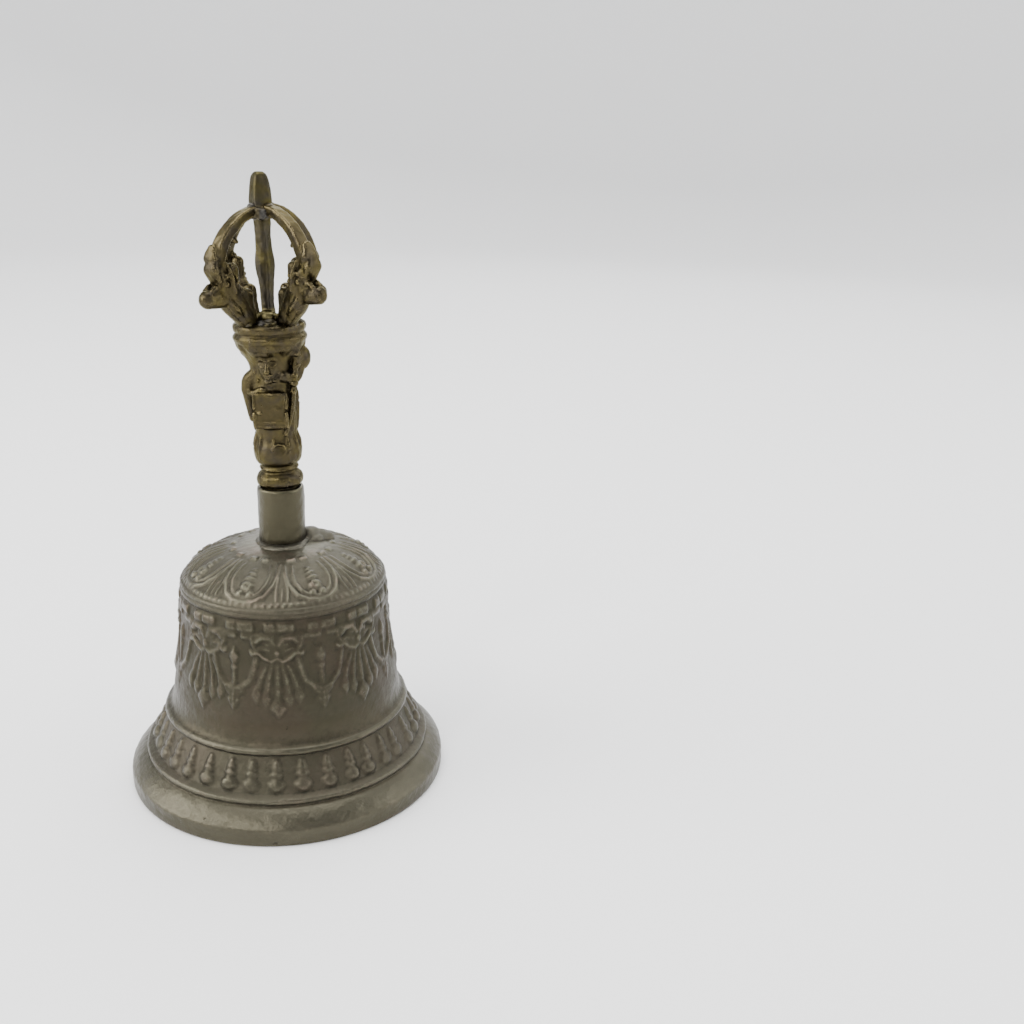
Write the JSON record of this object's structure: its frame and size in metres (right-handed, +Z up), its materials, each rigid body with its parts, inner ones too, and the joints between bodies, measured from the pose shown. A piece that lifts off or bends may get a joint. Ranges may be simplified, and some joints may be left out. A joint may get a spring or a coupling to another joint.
{
  "type": "hand bell",
  "caption": "Tibetan ritual hand bell: a flared bronze bell with banded relief, a cast brass half-vajra handle with caged prongs, and a hanging clapper.",
  "frame": {"origin": "centre of the rim circle, in the plane that the bell stands on", "axes": "+Z up along the bell's axis; -Y towards the side that the cast figure on the handle faces; the handle leans 1.55 degrees towards -X"},
  "size_m": [0.0874, 0.0874, 0.1645],
  "materials": {
    "bell_bronze": "dull olive-brown cast bronze, worn lighter on raised parts",
    "handle_brass": "cast yellow brass, tarnished dark in the hollows and bright on the high spots",
    "braze": "dull grey braze metal",
    "steel": "plain steel, a little tarnished",
    "clapper_iron": "rough dark cast iron"
  },
  "bodies": {
    "bell": {"bell_shell": "bell_bronze", "neck_collar": "bell_bronze", "collar_braze": "braze", "handle_casting": "handle_brass", "prong_back_right": "handle_brass", "prong_back_left": "handle_brass", "prong_front_left": "handle_brass", "prong_front_right": "handle_brass", "centre_prong": "handle_brass", "tip_braze": "braze", "root_braze": "braze", "eye_bolt": "steel", "crown_washer": "steel", "crown_nut": "steel"},
    "ring": {"clapper_ring": "steel"},
    "clapper": {"clapper_rod": "steel", "clapper_bob": "clapper_iron"}
  },
  "joints": [
    {"name": "ring_swing", "type": "hinge", "parent": "bell", "child": "ring", "pos_m": [0, 0, 0.0522], "axis": [1, 0, 0], "range_deg": [-32, 32]},
    {"name": "clapper_swing", "type": "hinge", "parent": "ring", "child": "clapper", "pos_m": [0, 0, 0.04715], "axis": [0, 1, 0], "range_deg": [-12, 12]}
  ]
}
